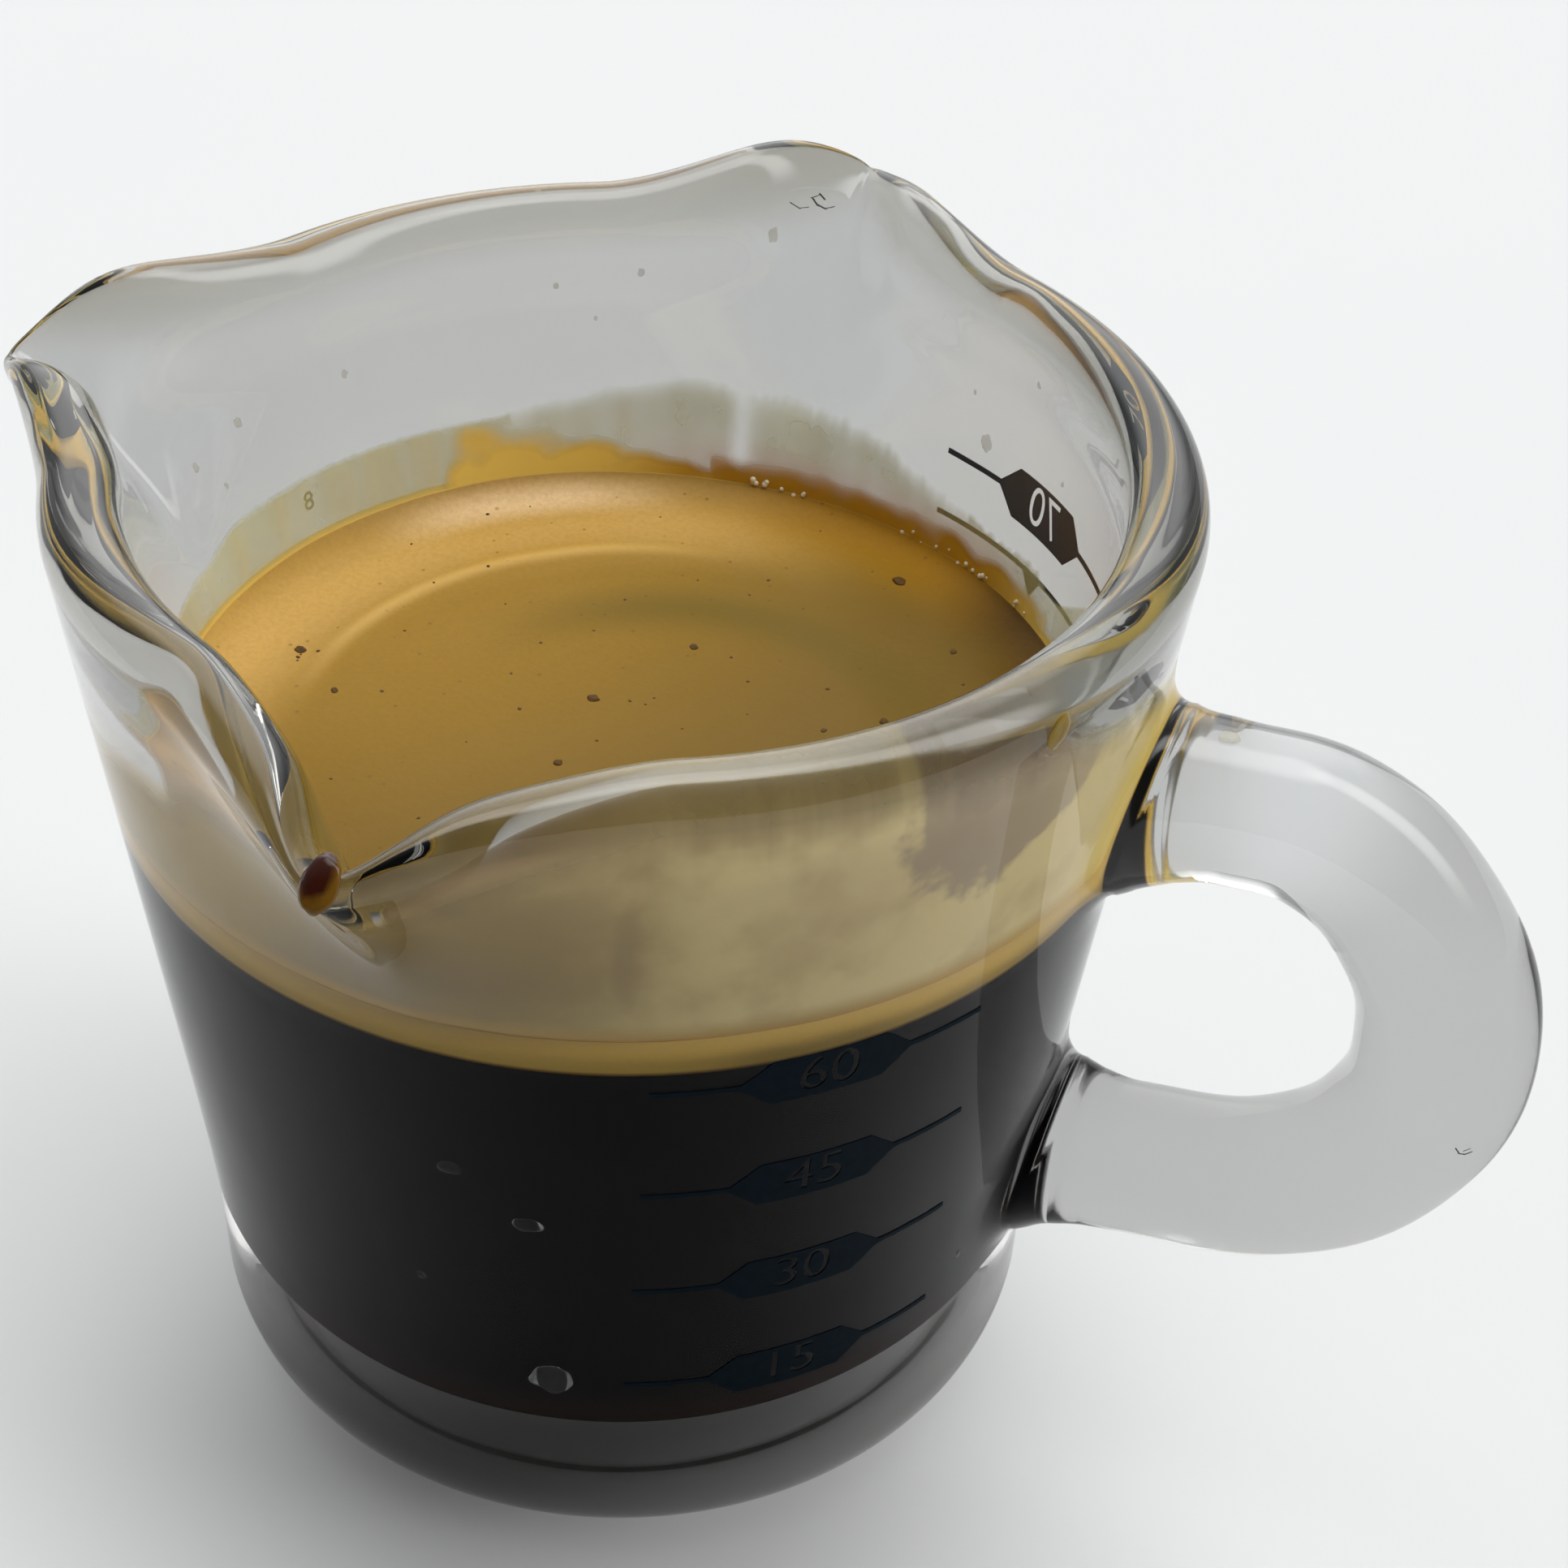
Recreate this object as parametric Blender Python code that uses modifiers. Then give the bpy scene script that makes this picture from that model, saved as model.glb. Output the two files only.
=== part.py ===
"""A double espresso in a small clear glass jug with three pouring lips and a rod handle.

Metres, +Z up. The jug stands on its flat base at z = 0 with its axis on Z, and the handle
points along +X. The three lips are pulled out of the rim at +Y, -X and -Y.
"""

import math

import bmesh
import bpy

MM = 0.001
GAP = 0.3 * MM
MERGE = 0.00001
SHARP_ANGLE = math.radians(35)

# The jug
JUG_HEIGHT = 61.0 * MM
RIM_RADIUS = 31.0 * MM
HEEL_RADIUS = 24.5 * MM
FLARE_START = 11.0 * MM
FLARE_BLEND = 6.0 * MM
WALL = 3.2 * MM
BASE_THICKNESS = 7.8 * MM
RIM_BEAD = 2.2 * MM
BEAD_HEIGHT = 5.5 * MM
FOOT_ROUND = 5.6 * MM
FOOT_ROUND_HEIGHT = 6.5 * MM
FLOOR_ROUND = 5.0 * MM
TURN_STEPS = 96
CROWDING = 0.62

# The three lips, each pulled by hand: angle, pull outwards, droop of the tip, and the rise of
# the flank on its clockwise side and on its other side, seen from above
LIPS = (
    (math.radians(88.5), 7.6 * MM, 1.5 * MM, 0.2 * MM, 1.5 * MM),
    (math.radians(180), 7.4 * MM, 3.2 * MM, 0.9 * MM, 0.0),
    (math.radians(-90), 8.0 * MM, 1.7 * MM, 0.0, 0.0),
)
LIP_DROOP_WIDTH = 0.2
LIP_DEPTH = 18.0 * MM
LIP_HALF_WIDTH = math.radians(27)
LIP_SHARPNESS = 1.75
LIP_TIP_ROUND = 0.05
LIP_THICKENING = 0.2
LIP_TIP_THINNING = 0.5
LIP_EARLINESS = 0.6

# The handle, a glass rod bent in the XZ plane: x, z and the rod's radius at each station
HANDLE_STATIONS = (
    (28.0 * MM, 46.4 * MM, 6.6 * MM),
    (31.0 * MM, 46.5 * MM, 5.2 * MM),
    (34.0 * MM, 46.8 * MM, 4.4 * MM),
    (40.1 * MM, 46.3 * MM, 4.5 * MM),
    (45.2 * MM, 42.0 * MM, 4.7 * MM),
    (47.8 * MM, 35.1 * MM, 5.0 * MM),
    (46.2 * MM, 27.4 * MM, 4.8 * MM),
    (40.5 * MM, 21.8 * MM, 4.6 * MM),
    (31.0 * MM, 20.0 * MM, 4.4 * MM),
    (27.4 * MM, 19.9 * MM, 5.2 * MM),
    (24.0 * MM, 19.9 * MM, 6.4 * MM),
)
HANDLE_RESOLUTION = 4
HANDLE_SIDES = 6

# The drink
COFFEE_TOP = 39.8 * MM
CREMA_TOP = 41.9 * MM
MENISCUS = 0.5 * MM
MENISCUS_REACH = 2.0 * MM
MENISCUS_START = 0.17 * MM
DRINK_STEPS = 64


def clear_scene():
    for old in list(bpy.data.objects):
        bpy.data.objects.remove(old, do_unlink=True)


def collection(name):
    made = bpy.data.collections.new(name)
    bpy.context.scene.collection.children.link(made)
    return made


def material(name, colour, roughness, transmission=0.0, ior=1.45):
    made = bpy.data.materials.new(name)
    made.use_nodes = True
    shader = made.node_tree.nodes["Principled BSDF"]
    shader.inputs["Base Color"].default_value = (*colour, 1.0)
    shader.inputs["Roughness"].default_value = roughness
    shader.inputs["Metallic"].default_value = 0.0
    shader.inputs["Transmission Weight"].default_value = transmission
    shader.inputs["IOR"].default_value = ior
    return made


def outer_radius(height):
    """The wall outside: nearly upright at the heel, then a straight flare to the rim."""
    def spread(level):
        above = level - FLARE_START
        return (above + math.hypot(above, FLARE_BLEND)) / 2
    slope = (RIM_RADIUS - HEEL_RADIUS) / spread(JUG_HEIGHT - RIM_BEAD)
    return HEEL_RADIUS + slope * spread(height)


def inner_radius(height):
    """The wall inside, which thickens into the bead just under the rim."""
    bead_base = JUG_HEIGHT - RIM_BEAD - BEAD_HEIGHT
    rise = min(max((height - bead_base) / BEAD_HEIGHT, 0.0), 1.0)
    swell = (2 * RIM_BEAD - WALL) * (1 - math.cos(math.pi * rise)) / 2
    return outer_radius(height) - WALL - swell


def arc(centre, radii, start, end, count):
    """Points on a part of an ellipse, both ends included, angles in degrees from +X."""
    points = []
    for step in range(count + 1):
        angle = math.radians(start + (end - start) * step / count)
        points.append((centre[0] + radii[0] * math.cos(angle), centre[1] + radii[1] * math.sin(angle)))
    return points


def wall_levels(low, high, count):
    return [low + (high - low) * step / count for step in range(1, count)]


def jug_profile():
    """From the middle of the floor, up the inside, over the rim, down the outside to the base."""
    floor_corner = BASE_THICKNESS + FLOOR_ROUND
    rim_level = JUG_HEIGHT - RIM_BEAD
    inside = inner_radius(floor_corner)
    points = [(0.0, BASE_THICKNESS)]
    points += arc((inside - FLOOR_ROUND, floor_corner), (FLOOR_ROUND, FLOOR_ROUND), -90, 0, 5)
    points += [(inner_radius(level), level) for level in wall_levels(floor_corner, COFFEE_TOP, 4)]
    points += [(inner_radius(level), level) for level in wall_levels(COFFEE_TOP, rim_level, 9)]
    points += arc((RIM_RADIUS - RIM_BEAD, rim_level), (RIM_BEAD, RIM_BEAD), 180, 0, 8)
    outside = wall_levels(FOOT_ROUND_HEIGHT, rim_level, 14)
    points += [(outer_radius(level), level) for level in reversed(outside)]
    foot = outer_radius(FOOT_ROUND_HEIGHT) - FOOT_ROUND
    points += arc((foot, FOOT_ROUND_HEIGHT), (FOOT_ROUND, FOOT_ROUND_HEIGHT), 0, -90, 6)
    points.append((0.0, 0.0))
    return points


def turned(name, points, steps):
    """A solid turned from a profile that starts and ends on the axis."""
    mesh = bpy.data.meshes.new(name)
    edges = [(place, place + 1) for place in range(len(points) - 1)]
    mesh.from_pydata([(radius, 0.0, height) for radius, height in points], edges, [])
    made = bpy.data.objects.new(name, mesh)
    bpy.context.scene.collection.objects.link(made)
    screw = made.modifiers.new("turn", "SCREW")
    screw.steps = steps
    screw.render_steps = steps
    screw.use_merge_vertices = True
    screw.merge_threshold = MERGE
    return made


def baked(source, name, target):
    """A new object in target that holds the source's evaluated mesh; the source is removed."""
    evaluated = source.evaluated_get(bpy.context.evaluated_depsgraph_get())
    mesh = bpy.data.meshes.new_from_object(evaluated)
    mesh.name = name
    mesh.transform(source.matrix_world)
    bpy.data.objects.remove(source, do_unlink=True)
    soup = bmesh.new()
    soup.from_mesh(mesh)
    bmesh.ops.remove_doubles(soup, verts=soup.verts, dist=MERGE)
    bmesh.ops.recalc_face_normals(soup, faces=soup.faces)
    soup.to_mesh(mesh)
    soup.free()
    made = bpy.data.objects.new(name, mesh)
    target.objects.link(made)
    return made


def turn_from(lip, angle):
    return math.remainder(angle - lip[0], 2 * math.pi) / LIP_HALF_WIDTH


def pull_share(turn):
    """The share of the pull outwards: a V with a slightly rounded tip and curved-in flanks."""
    eased = math.hypot(turn, LIP_TIP_ROUND) - LIP_TIP_ROUND
    eased /= math.hypot(1.0, LIP_TIP_ROUND) - LIP_TIP_ROUND
    return (1.0 - eased) ** LIP_SHARPNESS


def tip_share(turn):
    """The share of what happens only at the tip, where the glass is drawn thin and droops."""
    return math.exp(-(turn / LIP_DROOP_WIDTH) ** 2)


def flank_share(turn):
    """The share of the flanks' rise, which is all near the tip."""
    return math.sin(math.pi * math.sqrt(turn)) ** 2


def lip_fade(height):
    """The pull's share at a height: all of it at the rim, none below the lip."""
    rise = (height - (JUG_HEIGHT - LIP_DEPTH)) / LIP_DEPTH
    rise = min(max(rise, 0.0), 1.0)
    return rise * rise * (1 + LIP_EARLINESS * (1 - rise))


def pull_lips(mesh):
    """Crowd the turned steps at the lips and the handle, then pull the three lips out."""
    for vertex in mesh.vertices:
        x, y, z = vertex.co
        radius = math.hypot(x, y)
        if radius < MERGE:
            continue
        angle = math.atan2(y, x)
        angle -= CROWDING * math.sin(4 * angle) / 4
        lip = min(LIPS, key=lambda each: abs(turn_from(each, angle)))
        _, pull, droop, clockwise_rise, other_rise = lip
        rise = other_rise if turn_from(lip, angle) > 0 else clockwise_rise
        turn = min(abs(turn_from(lip, angle)), 1.0)
        fade = lip_fade(z)
        if turn < 1.0 and fade > 0.0:
            outside = outer_radius(z)
            depth = (outside - radius) * (1 + LIP_THICKENING * pull_share(turn) * fade)
            depth *= 1 - LIP_TIP_THINNING * tip_share(turn) * fade
            radius = outside - depth + pull * pull_share(turn) * fade
            z += (rise * flank_share(turn) - droop * tip_share(turn)) * fade
        vertex.co = (radius * math.cos(angle), radius * math.sin(angle), z)


def make_jug(parts):
    jug = baked(turned("turned_jug", jug_profile(), TURN_STEPS), "glass_jug", parts)
    pull_lips(jug.data)
    return jug


def make_handle(cutters):
    """The bent rod as a smooth curve whose ends lie inside the wall."""
    curve = bpy.data.curves.new("rod", "CURVE")
    curve.dimensions = "3D"
    curve.resolution_u = HANDLE_RESOLUTION
    curve.bevel_depth = 1.0
    curve.bevel_resolution = HANDLE_SIDES
    curve.use_fill_caps = True
    spline = curve.splines.new("BEZIER")
    spline.bezier_points.add(len(HANDLE_STATIONS) - 1)
    for point, (x, z, radius) in zip(spline.bezier_points, HANDLE_STATIONS):
        point.co = (x, 0.0, z)
        point.radius = radius
        point.handle_left_type = "AUTO"
        point.handle_right_type = "AUTO"
    rod = bpy.data.objects.new("rod", curve)
    bpy.context.scene.collection.objects.link(rod)
    bpy.context.view_layer.update()
    handle = baked(rod, "handle_rod", cutters)
    bpy.data.curves.remove(curve)
    handle.hide_render = True
    handle.display_type = "WIRE"
    return handle


def fuse(base, tool):
    union = base.modifiers.new("fused", "BOOLEAN")
    union.operation = "UNION"
    union.solver = "EXACT"
    union.object = tool


def coffee_profile():
    floor_corner = BASE_THICKNESS + FLOOR_ROUND
    inside = inner_radius(floor_corner)
    bend = FLOOR_ROUND - GAP
    levels = wall_levels(floor_corner, COFFEE_TOP, 4)
    points = [(0.0, COFFEE_TOP), (inner_radius(COFFEE_TOP) - GAP, COFFEE_TOP)]
    points += [(inner_radius(level) - GAP, level) for level in reversed(levels)]
    points += arc((inside - FLOOR_ROUND, floor_corner), (bend, bend), 0, -90, 5)
    points.append((0.0, BASE_THICKNESS + GAP))
    return points


def crema_profile():
    edge = inner_radius(CREMA_TOP) - GAP
    bottom = COFFEE_TOP + GAP
    return [
        (0.0, CREMA_TOP),
        (edge - MENISCUS_REACH, CREMA_TOP),
        (edge - MENISCUS, CREMA_TOP + MENISCUS_START),
        (inner_radius(CREMA_TOP + MENISCUS) - GAP, CREMA_TOP + MENISCUS),
        (inner_radius(bottom) - GAP, bottom),
        (0.0, bottom),
    ]


def finish(piece, surface):
    piece.data.materials.clear()
    piece.data.materials.append(surface)
    piece.data.shade_smooth()
    piece.data.set_sharp_from_angle(angle=SHARP_ANGLE)


def main():
    clear_scene()
    parts = collection("double_espresso")
    cutters = collection("cutters")
    jug = make_jug(parts)
    fuse(jug, make_handle(cutters))
    coffee = baked(turned("turned_coffee", coffee_profile(), DRINK_STEPS), "coffee", parts)
    crema = baked(turned("turned_crema", crema_profile(), DRINK_STEPS), "crema", parts)
    finish(jug, material("clear_glass", (0.93, 0.95, 0.95), 0.02, 1.0, 1.5))
    finish(coffee, material("black_coffee", (0.012, 0.007, 0.005), 0.1))
    finish(crema, material("crema", (0.42, 0.25, 0.09), 0.45))


main()
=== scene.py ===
"""The looks of a double espresso in a small clear glass jug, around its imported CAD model.

Metres, +Z up, in the model's own frame: the jug stands on z = 0 with its axis on Z, and its
handle points along +X. Angles round the jug are in degrees from +X, anticlockwise from above.
"""

import math
import random

import bmesh
import bpy
from mathutils import Matrix, Vector, kdtree, noise


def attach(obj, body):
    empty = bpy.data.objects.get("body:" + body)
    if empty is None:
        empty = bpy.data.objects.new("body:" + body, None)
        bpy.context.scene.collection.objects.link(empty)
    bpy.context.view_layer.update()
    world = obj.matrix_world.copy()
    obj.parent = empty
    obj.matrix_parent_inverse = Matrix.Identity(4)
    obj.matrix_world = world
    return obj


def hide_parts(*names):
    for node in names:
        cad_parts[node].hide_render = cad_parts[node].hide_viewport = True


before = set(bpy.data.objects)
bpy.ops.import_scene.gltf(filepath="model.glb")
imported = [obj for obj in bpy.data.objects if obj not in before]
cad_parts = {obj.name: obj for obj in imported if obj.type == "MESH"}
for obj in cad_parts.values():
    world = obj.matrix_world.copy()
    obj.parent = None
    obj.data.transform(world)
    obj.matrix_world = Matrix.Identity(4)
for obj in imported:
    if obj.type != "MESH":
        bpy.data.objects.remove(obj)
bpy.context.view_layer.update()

MM = 0.001

# The jug, as in the CAD model, but for a richer flare where the handle meets the wall
JUG_HEIGHT = 61.0 * MM
RIM_RADIUS = 31.0 * MM
HEEL_RADIUS = 24.5 * MM
FLARE_START = 11.0 * MM
FLARE_BLEND = 6.0 * MM
WALL = 3.2 * MM
BASE_THICKNESS = 7.8 * MM
RIM_BEAD = 2.2 * MM
BEAD_HEIGHT = 5.5 * MM
FOOT_ROUND = 5.6 * MM
FOOT_ROUND_HEIGHT = 6.5 * MM
FLOOR_ROUND = 5.0 * MM
# Each lip: its angle, pull outwards and droop, and the rise of its clockwise and its other flank
LIPS = (
    (math.radians(88.5), 7.6 * MM, 1.5 * MM, 0.2 * MM, 1.5 * MM),
    (math.radians(180), 7.4 * MM, 3.2 * MM, 0.9 * MM, 0.0),
    (math.radians(-90), 8.0 * MM, 1.7 * MM, 0.0, 0.0),
)
LIP_DROOP_WIDTH = 0.2
LIP_DEPTH = 18.0 * MM
LIP_EARLINESS = 0.6
LIP_HALF_WIDTH = math.radians(27)
LIP_SHARPNESS = 1.75
LIP_TIP_ROUND = 0.05
LIP_THICKENING = 0.2
LIP_TIP_THINNING = 0.5
# The handle's rod, from its upper end to its lower one: x, z and radius in millimetres
HANDLE_STATIONS = (
    (27.6, 46.4, 7.6), (28.9, 46.4, 6.4), (30.2, 46.45, 5.5), (32.0, 46.6, 4.8), (34.4, 46.8, 4.45),
    (40.1, 46.3, 4.5), (45.2, 42.0, 4.7), (47.8, 35.1, 5.0), (46.2, 27.4, 4.8), (40.5, 21.8, 4.6),
    (31.5, 20.0, 4.4), (28.8, 19.9, 4.7), (27.0, 19.9, 5.3), (25.5, 19.9, 6.2), (24.1, 19.9, 7.4),
)
# The base's hollow, ringed underside, which the CAD model has flat: radius and height in millimetres
UNDERSIDE = (
    (18.3, 0.0), (17.7, 0.14), (17.1, 0.38), (16.4, 0.46), (15.2, 0.40), (14.3, 0.26), (13.6, 0.28),
    (12.9, 0.44), (11.5, 0.52), (8.0, 0.58), (4.0, 0.60), (0.0, 0.60),
)
COFFEE_TOP = 39.8 * MM
CREMA_TOP = 41.9 * MM

# Marks inside of the tool that pulled the lips: angles and heights in millimetres, going down
TOOL_MARKS = (
    ((177.4, 59.4), (176.6, 57.0), (176.8, 53.5), (178.2, 50.0), (180.0, 46.6)),
    ((179.4, 59.0), (181.2, 56.5), (183.4, 53.5), (185.5, 50.5)),
    ((92.0, 58.4), (92.6, 56.2), (93.8, 54.4), (95.6, 51.6)),
    ((90.6, 58.6), (90.8, 56.0), (91.2, 53.5), (92.0, 50.0)),
    ((88.6, 58.4), (87.4, 56.5), (85.6, 53.8)),
    ((-92.0, 58.2), (-93.8, 56.4), (-96.6, 53.6)),
    ((-88.4, 58.4), (-87.0, 56.2), (-85.0, 54.2), (-83.0, 51.6)),
)
MARK_WIDTH = 1.1
MARK_HEIGHT = 0.22 * MM
MARK_DEPTH = 1.0 * MM

# Patches of the film in front: angle, height, inner and outer reach in millimetres, share, colour
FILM_PATCHES = (
    (-84.0, 50.0, 6.0, 15.0, 0.75, (0.34, 0.225, 0.065)),
    (-99.0, 44.5, 4.0, 9.0, 0.6, (0.36, 0.27, 0.14)),
    (-27.0, 55.5, 8.3, 9.4, 0.8, (0.37, 0.275, 0.185)),
    (-46.0, 52.0, 4.5, 10.0, 0.25, (0.50, 0.38, 0.22)),
)

# The crema's bright left, paler foam with painted light on it, its painted highlight near the wall and
# its olive swirl, each where a ring and a spot meet: x, y, radius and width, and x, y, inner and outer
# reach, in millimetres, then share and colour
CREMA_BANDS = (
    ((2, -3, 25.5, 6.5), (-19, 14, 14, 30), 1.0, (0.530, 0.315, 0.080)),
    ((0, 0, 24.0, 2.0), (-14.5, 19.3, 2, 11), 0.8, (0.85, 0.60, 0.32)),
    ((3, -3, 16.0, 3.4), (5, 13, 8, 20), 0.65, (0.120, 0.078, 0.004)),
)
BROWN_EDGE = ((0, 0, 27, 8.0), (18, 17, 14, 27))
# A painted highlight along the ridge at the left: its ring and its spot, as above
PAINTED_RIDGE_HIGHLIGHT = ((1, -1, 19.7, 0.9), (-18, 14, 8, 20))

# How finely the pieces are made, how their columns crowd towards the lips and the handle, and how
# far the drink reaches into the wall
GLASS_STEPS = 288
CROWDING = 0.62
HANDLE_RESOLUTION = 14
HANDLE_SIDES = 26
WALL_STEPS = 80
DRINK_STEPS = 192
REACH = 0.3 * MM
MERGE = 0.001 * MM
SEED = 7

# The rounded seam between the handle and the wall
SEAM_ANGLE = math.radians(14)
SEAM_REACH = 1.7 * MM
SEAM_EDGE = 0.42 * MM
SEAM_PASSES = 140
SEAM_ROUGHNESS = 0.14
HANDLE_SIDE = 20 * MM

AXIS = (0.0, 0.0, 0.0)

# The camera, at the photograph's viewing angle
CAMERA_PLACE = (56.32 * MM, -141.53 * MM, 154.64 * MM)
CAMERA_RIGHT = (0.94063, 0.33784, 0.03287)
CAMERA_UP = (-0.22987, 0.56276, 0.79402)
SENSOR = 36.0
LENS = 77.06


# Materials

class Nodes:
    """Short calls to add and link nodes in a tree."""

    def __init__(self, tree, place):
        self.tree = tree
        self.place = self.node("ShaderNodeTexCoord").outputs[place]

    def node(self, kind, inputs=None, **settings):
        made = self.tree.nodes.new(kind)
        for name, value in settings.items():
            setattr(made, name, value)
        for name, value in (inputs or {}).items():
            self.set(made.inputs[name], value)
        return made

    def set(self, socket, value):
        if isinstance(value, bpy.types.NodeSocket):
            self.tree.links.new(value, socket)
        else:
            socket.default_value = value

    def math(self, operation, *values, clamp=False):
        made = self.node("ShaderNodeMath", dict(enumerate(values)), operation=operation)
        made.use_clamp = clamp
        return made.outputs[0]

    def times(self, first, second):
        return self.math("MULTIPLY", first, second)

    def vector(self, operation, first, second=AXIS):
        return self.node("ShaderNodeVectorMath", {0: first, 1: second}, operation=operation)

    def ramp(self, value, low, high, top=1.0):
        """0 where value is at or under low and top where it is at or over high, or the reverse."""
        limits = {"Value": value, "From Min": low, "From Max": high, "To Max": top}
        made = self.node("ShaderNodeMapRange", limits, interpolation_type="SMOOTHSTEP")
        return made.outputs["Result"]


class Surface(Nodes):
    """A Principled material under construction, placed by the object's own coordinates."""

    def __init__(self, name):
        self.material = bpy.data.materials.new(name)
        self.material.use_nodes = True
        super().__init__(self.material.node_tree, "Object")
        self.shader = self.tree.nodes["Principled BSDF"]

    def shade(self, **values):
        for name, value in values.items():
            self.set(self.shader.inputs[name.replace("_", " ")], value)

    def thickness(self):
        """The thickness attribute that some pieces carry at their vertices."""
        return self.node("ShaderNodeAttribute", attribute_name="thickness").outputs["Fac"]

    def noise(self, size, detail=2.0, stretch=(1.0, 1.0, 1.0), rough=0.5):
        """Noise from 0 to 1 whose features are about size across."""
        scale = [each / size for each in stretch]
        spread = self.node("ShaderNodeMapping", {"Vector": self.place, "Scale": scale})
        look = {"Vector": spread.outputs[0], "Scale": 1.0, "Detail": detail, "Roughness": rough}
        return self.node("ShaderNodeTexNoise", look).outputs["Fac"]

    def dots(self, size):
        """The distance to the nearest of many scattered points, in units of size."""
        made = self.node("ShaderNodeTexVoronoi", {"Vector": self.place, "Scale": 1.0 / size})
        return made.outputs["Distance"]

    def distance(self, centre, stretch=(1.0, 1.0, 1.0)):
        """The distance to centre, with each axis scaled by stretch."""
        off = self.vector("SUBTRACT", self.place, centre).outputs["Vector"]
        scaled = self.vector("MULTIPLY", off, stretch).outputs["Vector"]
        return self.vector("LENGTH", scaled).outputs["Value"]

    def along_x(self, start):
        return self.distance((start, 0.0, 0.0), (1.0, 0.0, 0.0))

    def along_y(self, start):
        return self.distance((0.0, start, 0.0), (0.0, 1.0, 0.0))

    def height(self):
        return self.distance(AXIS, (0.0, 0.0, 1.0))

    def ring(self, centre, radius, width):
        """1 on a ring round centre in the XY plane, fading to 0 at width from it."""
        off = self.math("SUBTRACT", self.distance(centre, (1.0, 1.0, 0.0)), radius)
        return self.ramp(self.math("ABSOLUTE", off), width, 0.0)

    def spot(self, centre, inner, outer, stretch=(1.0, 1.0, 0.0)):
        """1 within inner of centre, fading to 0 at outer."""
        return self.ramp(self.distance(centre, stretch), outer, inner)

    def band(self, ring, spot):
        """1 where a ring and a spot meet: each is x, y and two lengths, in millimetres."""
        x, y, radius, width = [each * MM for each in ring]
        on_ring = self.ring((x, y, 0.0), radius, width)
        x, y, inner, outer = [each * MM for each in spot]
        return self.times(on_ring, self.spot((x, y, 0.0), inner, outer))

    def mix(self, share, first, second):
        made = self.node("ShaderNodeMix", data_type="RGBA")
        for name, value in (("Factor", share), ("A", first), ("B", second)):
            sockets = [each for each in made.inputs if each.name == name and each.enabled]
            if not isinstance(value, bpy.types.NodeSocket) and name != "Factor":
                value = (*value, 1.0)
            self.set(sockets[0], value)
        return [each for each in made.outputs if each.enabled][0]

    def bump(self, height, strength, distance):
        made = self.node("ShaderNodeBump", {"Height": height, "Strength": strength})
        made.inputs["Distance"].default_value = distance
        self.set(self.shader.inputs["Normal"], made.outputs["Normal"])


def glass_material():
    """Pressed glass: grey, with painted shade at the foot and on the rim, darkest at the rim's right, a
    painted highlight on the top of the handle, faintly wavy, and calm where it is full.
    """
    made = Surface("clear_glass_pressed")
    height = made.height()
    tone = made.mix(made.noise(14 * MM, 2.0), (0.54, 0.545, 0.535), (0.59, 0.595, 0.585))
    # Painted shade: the glass is darker towards the foot
    tone = made.mix(made.ramp(height, 18 * MM, 8 * MM), tone, (0.37, 0.37, 0.36))
    # Painted shade: the rim is darker, and darker still on its right
    right = made.ramp(made.along_x(-30 * MM), 42 * MM, 52 * MM)
    rim = made.mix(right, (0.43, 0.42, 0.375), (0.24, 0.235, 0.20))
    tone = made.mix(made.ramp(height, 57.2 * MM, 60 * MM), tone, rim)
    # A painted highlight on the top of the handle, by its upper joint
    painted_highlight = made.spot((38.5 * MM, 0.0, 49.5 * MM), 2 * MM, 8 * MM, (1.0, 0.5, 1.0))
    tone = made.mix(painted_highlight, tone, (0.82, 0.84, 0.84))
    calm = made.ramp(height, 46 * MM, 41 * MM)
    gloss = made.mix(calm, (0.8, 0.8, 0.8), (0.06, 0.06, 0.06))
    bend = made.math("MULTIPLY_ADD", calm, -0.30, 1.5)
    upper_seam = seam_share(made, 29.6 * MM, 46.4 * MM)
    lower_seam = seam_share(made, 26.4 * MM, 19.9 * MM)
    rough = made.times(made.math("ADD", upper_seam, lower_seam), SEAM_ROUGHNESS)
    made.shade(Base_Color=tone, Roughness=rough, IOR=bend, Transmission_Weight=1.0, Specular_Tint=gloss)
    made.bump(made.noise(9 * MM, 1.0), 0.35, 0.12 * MM)
    return made.material


def seam_share(made, x, z):
    """1 on the joint of the handle that is centred on x and z, fading to 0 round it."""
    beside = made.ramp(made.distance((0.0, 0.0, z), (0.0, 1.0, 1.0)), 9.0 * MM, 7.0 * MM)
    return made.times(beside, made.ramp(made.along_x(x), 2.6 * MM, 0.8 * MM))


def coffee_material():
    """Nearly black coffee, redder and lighter low down where it is thin, with painted light underneath: a
    grey underside with two pale rings, for the light seen through the glass base.
    """
    made = Surface("espresso_dark")
    height = made.height()
    tone = made.mix(made.noise(8 * MM), (0.0030, 0.0026, 0.0026), (0.0045, 0.0038, 0.0036))
    tone = made.mix(made.ramp(height, 14 * MM, 9 * MM), tone, (0.030, 0.014, 0.010))
    # Painted light underneath: a grey underside with two pale rings, for the light seen through the base
    painted_outer_light_ring = made.ring(AXIS, 21.4 * MM, 0.5 * MM)
    painted_inner_light_ring = made.ring(AXIS, 18.6 * MM, 0.35 * MM)
    rings = made.math("ADD", painted_outer_light_ring, painted_inner_light_ring)
    under = made.mix(rings, (0.10, 0.095, 0.085), (0.34, 0.33, 0.30))
    tone = made.mix(made.ramp(height, 8.3 * MM, 7.7 * MM), tone, under)
    made.shade(Base_Color=tone, Roughness=0.3, IOR=1.33, Specular_IOR_Level=0.0)
    return made.material


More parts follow.
